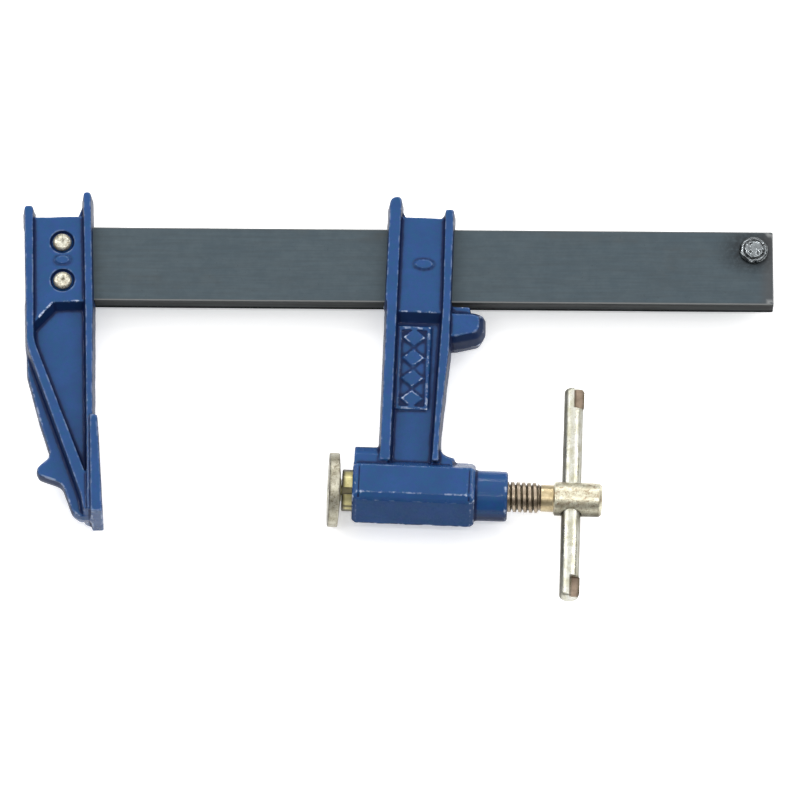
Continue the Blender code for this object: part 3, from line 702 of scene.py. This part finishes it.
def rivet(name, node, shank, crown, wobble, seed, groove=0.0, dimple=0.0):
    """A rivet with a rounded, slightly uneven head at each end, and a shoulder round its foot."""
    low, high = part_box(node)
    reach = (high.z - low.z) / 2 / MM
    head = (high.x - low.x) / 2 / MM
    grip = reach - crown
    half = [(grip, shank), (grip, head * 0.90), (grip + 0.25, head), (grip + 0.6, head)]
    for step in range(1, 30):
        angle = math.pi / 2 * step / 30
        radius = head * math.cos(angle) ** 0.8
        dip = groove * math.exp(-(((radius / head - 0.72) / 0.07) ** 2))
        half.append((grip + 0.6 + (crown - 0.6) * math.sin(angle) - dip, radius))
    half.append((reach, head * 0.02))
    profile = [(-u, r) for u, r in reversed(half)] + half
    bm = turned(profile, 64)
    for vert in bm.verts:
        u, y, z = vert.co
        if abs(u) > grip + 0.3:
            wave = noise.noise(Vector((u, y + seed, z)) / 2.3)
            wave += 0.5 * noise.noise(Vector((u, y, z + seed)) / 0.9)
            nearest = noise.voronoi(Vector((0.0, y + seed, z)) / 3.0)[0][0]
            sink = wobble * abs(wave) + dimple * max(0.0, 0.5 - nearest)
            vert.co *= 1 - sink / max(vert.co.length, 0.1)
    matrix = Matrix.Translation((low + high) / 2) @ Matrix.Rotation(math.radians(90), 4, "Y") @ SCALE
    return from_bmesh(name, bm, matrix)


def rust_spot(x, y, seed):
    """A narrow brown stain on a jaw rivet's head."""
    broken = 0.7 * abs(noise.noise(Vector((x, y + seed, 0)) / 0.8))
    return 1.35 - math.hypot((x - 0.4) / 0.9, (y - 0.3) / 2.3) - broken


def rivets():
    for side, seed in (("upper", 3.0), ("lower", 11.0)):
        node = f"fixed_jaw_rivet_{side}"
        made = rivet(f"jaw_rivet_{side}", node, 4.0, 2.9, 0.18, seed)
        place = Matrix.Translation(middle(node)) @ SCALE
        # On the jaw rivets the "shade" attribute carries a real rust stain, not shade.
        mark(made, "shade", place, lambda x, y, z: rust_spot(x, y, seed))
        dress(made, RIVETS, "rail", "pale_rivet_steel", node, smooth=None)


def stop_rivet():
    """The stop rivet is hammered, so its head is a patch of small facets with a peened ring."""
    made = rivet("stop_rivet_head", "stop_rivet", 4.0, 3.2, 0.3, 20.0, 0.7, 1.6)
    return dress(made, STOP, "rail", "dark_rivet_steel", "stop_rivet", smooth=None)


# ---------------------------------------------------------------- pump


PLUNGER_FRONT, PLUNGER_REAR, PLUNGER_RADIUS = -5.3, 40.0, 10.65
KEYWAY_HALF, KEYWAY_FLOOR, KEYWAY_END = 1.8, 8.2, 31.5


def keyway_cutter():
    block = box_between((-12, -KEYWAY_HALF, KEYWAY_FLOOR), (KEYWAY_END, KEYWAY_HALF, 16))
    return from_bmesh("keyway", block, PUMP @ Matrix.Rotation(math.radians(PAD_TILT_TURN), 4, "X"))


def plunger_shade_and_stains(u, y, z):
    """Darker in the keyway; painted shadow round the front edge next to the pad; painted dark reflections in
    thin lines along the plunger's back and front.
    """
    if u > KEYWAY_END:
        return 0.0
    # Measured across the plunger as the camera sees it, so that the painted dark lines sit on its outline.
    across = (0.92 * y + 0.39 * z) / PLUNGER_RADIUS
    lines = max((abs(across) - 0.86) * 14, 1.2 - abs(across + 0.74) / 0.07)
    keyway = (PLUNGER_RADIUS - 0.45 - math.hypot(y, z)) * 1.5
    return max(keyway, lines, (PLUNGER_FRONT + 1.5 - u) * 3)


def plunger():
    front, rear, radius = PLUNGER_FRONT, PLUNGER_REAR, PLUNGER_RADIUS
    line = softened([(front, 2.9, 0), (front, radius, 0.7), (rear, radius, 0.9), (rear, 6.4, 0)], 5)
    filled = []
    for (u, r), (v, q) in zip(line, line[1:]):
        filled.append((u, r))
        gap = abs(v - u)
        if gap > 2:
            filled += [(u + (v - u) * t / 30, r + (q - r) * t / 30) for t in range(1, 30)]
    filled.append(line[-1])
    made = from_bmesh("plunger_body", turned(filled, 96, 0.06, 3.0), PUMP)
    socket = from_bmesh("socket", turned([(26, 6.3), (60, 6.3)], 48), PUMP)
    mouth = from_bmesh("mouth", turned([(-20, 2.8), (2.6, 2.8)], 32), PUMP)
    cut(made, keyway_cutter(), socket, mouth)
    mark(made, "shade", PUMP, plunger_shade_and_stains)
    return dress(made, YELLOW, "plunger", "yellow_zinc", "plunger", smooth=30)


def pad():
    """The swivel pad: a dished disc with a rounded rim, a conical back and a rivet seat."""
    rim = 18.95
    line = softened([
        (-10.6, 2.0, 0), (-10.6, 6.2, 0.3), (-12.3, 6.9, 0.3), (-12.4, rim, 1.1), (-7.0, rim, 0.9),
        (-6.2, 8.0, 0.4), (-6.3, 6.6, 0.2), (-7.7, 6.5, 0.2), (-7.7, 2.0, 0),
    ], 5)
    made = from_bmesh("swivel_pad", turned(line, 96, 0.10, 4.0, 7.0), PAD)
    hole = from_bmesh("hole", turned([(-20, 3.8), (0, 3.8)], 32), PAD)
    cut(made, hole)
    # Painted shade on the rim of the pad's front face.
    mark(made, "shade", PAD, lambda u, y, z: (-11.2 - u) * 0.9 if math.hypot(y, z) > 16 else 0.0)
    return dress(made, PADS, "pad", "yellow_zinc", "pad", smooth=40)


THREAD_FROM, THREAD_TO, PITCH = 44.0, 95.4, 2.75
CREST, ROOT = 7.75, 6.35
SHANK_FROM, SHANK_TO = 96.0, 102.3
SCREW_NOSE, SCREW_TAIL = 26.6, 126.6


def thread_radius(u, angle):
    """The radius of a right-hand trapezoid thread at a place along the screw and round it."""
    share = ((u - THREAD_FROM) / PITCH - angle / (2 * math.pi)) % 1.0
    distance = abs(share - 0.5) * 2
    lift = min(max((0.86 - distance) / 0.34, 0.0), 1.0)
    lift = lift * lift * (3 - 2 * lift)
    fade = min(max((THREAD_TO - u) / 1.6, 0.0), 1.0) * min(max((u - THREAD_FROM) / 1.2, 0.0), 1.0)
    return ROOT + (CREST - ROOT) * lift * fade


def spindle():
    segments = 72
    shank, head, nose = 6.85, 8.65, 5.95
    lead = softened([
        (SCREW_NOSE, 1.0, 0), (SCREW_NOSE, nose, 0.8), (33.6, nose, 0.2), (33.6, 3.9, 0.2), (37.4, 3.9, 0.2),
        (37.4, nose, 0.2), (41.9, nose, 0.2), (41.9, 7.3, 0.3), (43.6, 7.3, 0.3), (THREAD_FROM, ROOT, 0),
    ])
    tail = softened([
        (THREAD_TO, ROOT, 0), (SHANK_FROM, shank, 0.2), (102.1, shank, 0.4), (102.6, head - 0.5, 0.3),
        (103.0, head, 0.4), (125.4, head, 0.8), (126.8, head - 1.3, 0.5), (127.0, 5.0, 0.3),
        (SCREW_TAIL, 1.0, 0),
    ], 5)
    long_tail = []
    for (u, r), (v, q) in zip(tail, tail[1:]):
        pieces = max(1, int(abs(v - u) / 0.7))
        long_tail += [(u + (v - u) * t / pieces, r + (q - r) * t / pieces) for t in range(pieces)]
    long_tail.append(tail[-1])
    steps = int((THREAD_TO - THREAD_FROM) / 0.17)
    screw = [(THREAD_FROM + (THREAD_TO - THREAD_FROM) * step / steps, None) for step in range(1, steps)]
    bm = bmesh.new()
    rings = []
    for u, radius in lead + screw + long_tail:
        ring = []
        for step in range(segments):
            angle = 2 * math.pi * step / segments
            r = thread_radius(u, angle) if radius is None else radius
            y, z = math.cos(angle), math.sin(angle)
            r -= 0.07 * abs(noise.noise(Vector((u, y * r, z * r)) / 3.0))
            ring.append(bm.verts.new((u, r * y, r * z)))
        rings.append(ring)
    for low, high in zip(rings, rings[1:]):
        for index in range(segments):
            after = (index + 1) % segments
            bm.faces.new((low[index], low[after], high[after], high[index]))
    for ring, u in ((rings[0], SCREW_NOSE), (rings[-1], SCREW_TAIL)):
        hub = bm.verts.new((u, 0, 0))
        for index in range(segments):
            bm.faces.new((ring[index], ring[(index + 1) % segments], hub))
    made = from_bmesh("spindle_screw", bm, PUMP)
    hole = softened([(-20, 5.8, 0), (-9.1, 5.8, 0), (-7.8, 5.2, 0.3),
                     (7.8, 5.2, 0.3), (9.1, 5.8, 0), (20, 5.8, 0)])
    across = BAR @ shift(0, -BAR_OFFSET) @ Matrix.Rotation(math.radians(90), 4, "Z")
    cut(made, from_bmesh("bar_hole", turned(hole, 48), across))

    def shaded_head_sides(u, y, z):
        """Painted shade along both sides of the head."""
        return (abs(y) / head - 0.84) * 6 if u > SHANK_FROM and math.hypot(y, z) > 6.8 else 0.0

    mark(made, "shade", PUMP, shaded_head_sides)
    dress(made, SCREW, "spindle", "brown_oiled_steel", "spindle", smooth=32)
    made.data.materials.append(SHANK)
    made.data.materials.append(HEAD)
    back = PUMP.inverted()
    for face in made.data.polygons:
        u = (back @ face.center).x
        if u > SHANK_FROM:
            face.material_index = 1 if u < SHANK_TO else 2
    return made


def tommy_bar():
    """A plated rod whose ends are pressed flat on one side, which spreads them past the hole."""
    half, radius = 57.25, 4.92
    pressed, rounding = 11.5, 1.8
    segments = 64
    stations = [half - x for x in (0.0, 0.12, 0.45, 1.0, 1.8)]
    places = sorted(set(stations + [-x for x in stations] + list(np.linspace(-half + 2.2, half - 2.2, 240))))
    bm = bmesh.new()
    rings = []
    for y in places:
        end = half - abs(y)
        r = radius
        if end < rounding:
            arc = math.sqrt(max(0.0, 1 - (1 - end / rounding) ** 2))
            r = radius - 1.5 * (1 - arc) - (0.9 if end < 0.05 else 0.0)
        sign = 1 if y > 0 else -1
        depth = min(max((pressed - end) / 0.9, 0.0), 1.0)
        depth = depth * depth * (3 - 2 * depth)
        edge = 1.7 + 0.25 * noise.noise(Vector((0, y / 1.3, sign * 4)))
        ring = []
        for step in range(segments):
            angle = 2 * math.pi * step / segments
            x, z = r * math.cos(angle), r * math.sin(angle)
            wave = 0.05 * abs(noise.noise(Vector((x, y / 3, z)) / 2.0))
            x, z = x * (1 - wave / r), z * (1 - wave / r)
            if depth and x > 0.1 and z > edge - 1.4:
                over = max(0.0, z - edge)
                floor = z - over * depth * min(1.0, (x - 0.1) / 0.5)
                swell = 0.75 * depth * min(1.0, max(0.0, (z - edge + 1.4)) / 1.4) * min(1.0, x / 3.5)
                z = floor
                x += swell * min(1.0, end / 2.0)
            ring.append(bm.verts.new((x, y, z)))
        rings.append(ring)
    for low, high in zip(rings, rings[1:]):
        for index in range(segments):
            after = (index + 1) % segments
            bm.faces.new((low[index], low[after], high[after], high[index]))
    for ring in (rings[0], rings[-1]):
        bm.faces.new(ring)
    made = from_bmesh("tommy_bar_rod", bm, BAR)
    # Painted shade along both sides of the rod, darker on its left side.
    mark(made, "shade", BAR, lambda x, y, z: (-x / radius - 0.64) * 4 if x < 0 else (x / radius - 0.72) * 3.2)
    dress(made, ROD, "tommy_bar", "zinc_bar_steel", "tommy_bar", smooth=32, edges=False)
    made.data.materials.append(PRESSED)
    back = BAR.inverted()
    for face in made.data.polygons:
        place = back @ face.center
        inner = 0.9 if place.y < 0 else 0.2
        if half - pressed + 0.3 < abs(place.y) < half - 0.6 and place.x > inner and 0.8 < place.z < 2.3:
            face.material_index = 1
    return made


def carried_over():
    """The CAD nodes whose shape is right keep it, and get a detailed finish."""
    for name in ("guide_key", "retaining_pin_upper", "retaining_pin_lower",
                 "thrust_washer", "pad_rivet", "pad_washer"):
        material = YELLOW if name.startswith("pad_") else INNER
        node = frame["nodes"][name]
        node.data.materials.clear()
        node.data.materials.append(material)
        flat_edges(node)


# ---------------------------------------------------------------- studio


TARGET = Vector((0.001929, -0.001277, 0.019012))
ELEVATION, ROLL, DISTANCE = math.radians(67.0), 0.0074, 4.08475
SENSOR_MM, LENS_MM = 36.0, 360.0
GLOW_TOWARDS = Vector((0.0, 0.34, 0.94))
FLOOR_REACH, FLOOR_DEPTH = 6.0, 0.02


def camera():
    """A long lens from well above, which turns the clamp about half a degree in the picture."""
    back = Vector((0, -math.cos(ELEVATION), math.sin(ELEVATION)))
    right = Vector((1, 0, 0))
    up = back.cross(right)
    right, up = right * math.cos(ROLL) + up * math.sin(ROLL), up * math.cos(ROLL) - right * math.sin(ROLL)
    data = bpy.data.cameras.new("camera")
    data.sensor_width = SENSOR_MM
    data.lens = LENS_MM
    data.clip_start, data.clip_end = 0.05, 60.0
    made = bpy.data.objects.new("camera", data)
    bpy.context.scene.collection.objects.link(made)
    turn = Matrix((right, up, back)).transposed().to_4x4()
    made.matrix_world = Matrix.Translation(TARGET + back * DISTANCE) @ turn
    bpy.context.scene.camera = made


def strip_light(name, place, size, power):
    """A thin white light that faces the clamp's middle."""
    data = bpy.data.lights.new(name, "AREA")
    data.shape = "RECTANGLE"
    data.size, data.size_y = size
    data.energy = power
    made = bpy.data.objects.new(name, data)
    bpy.context.scene.collection.objects.link(made)
    made.location = place
    made.rotation_mode = "QUATERNION"
    made.rotation_quaternion = (Vector() - Vector(place)).to_track_quat("-Z", "Y")


def studio():
    """A pale floor under one broad overhead glow that falls off to the horizon, and four thin weak strips."""
    scene = bpy.context.scene
    world = bpy.data.worlds.new("studio")
    scene.world = world
    world.use_nodes = True
    tree = world.node_tree
    back = tree.nodes["Background"]
    back.inputs["Color"].default_value = (1.0, 1.0, 1.0, 1.0)
    facing = tree.nodes.new("ShaderNodeVectorMath")
    facing.operation = "DOT_PRODUCT"
    facing.inputs[1].default_value = GLOW_TOWARDS.normalized()
    tree.links.new(tree.nodes.new("ShaderNodeTexCoord").outputs["Generated"], facing.inputs[0])
    glow = tree.nodes.new("ShaderNodeMapRange")
    glow.interpolation_type = "SMOOTHSTEP"
    for socket, value in (("From Min", 0.25), ("From Max", 0.95), ("To Min", 0.22), ("To Max", 1.55)):
        glow.inputs[socket].default_value = value
    tree.links.new(facing.outputs["Value"], glow.inputs["Value"])
    tree.links.new(glow.outputs["Result"], back.inputs["Strength"])
    strip_light("left_strip", (-1.25, 0.5, 1.1), (0.05, 1.2), 6.0)
    strip_light("right_strip", (1.25, 0.5, 1.1), (0.05, 1.2), 5.0)
    strip_light("front_strip", (0.0, -0.55, 1.6), (1.6, 0.05), 5.0)
    strip_light("back_strip", (0.0, 1.3, 0.95), (1.6, 0.05), 5.0)
    corner = Vector((FLOOR_REACH, FLOOR_REACH, 0.0))
    floor = from_bmesh("floor", box_between(-corner - Vector((0, 0, FLOOR_DEPTH)), corner))
    floor.data.materials.append(FLOOR)
    scene.view_settings.view_transform = "Standard"
    scene.view_settings.look = "None"


fixed_jaw()
sliding_jaw()
rail()
rivets()
stop_rivet()
plunger()
pad()
spindle()
tommy_bar()
carried_over()
camera()
studio()
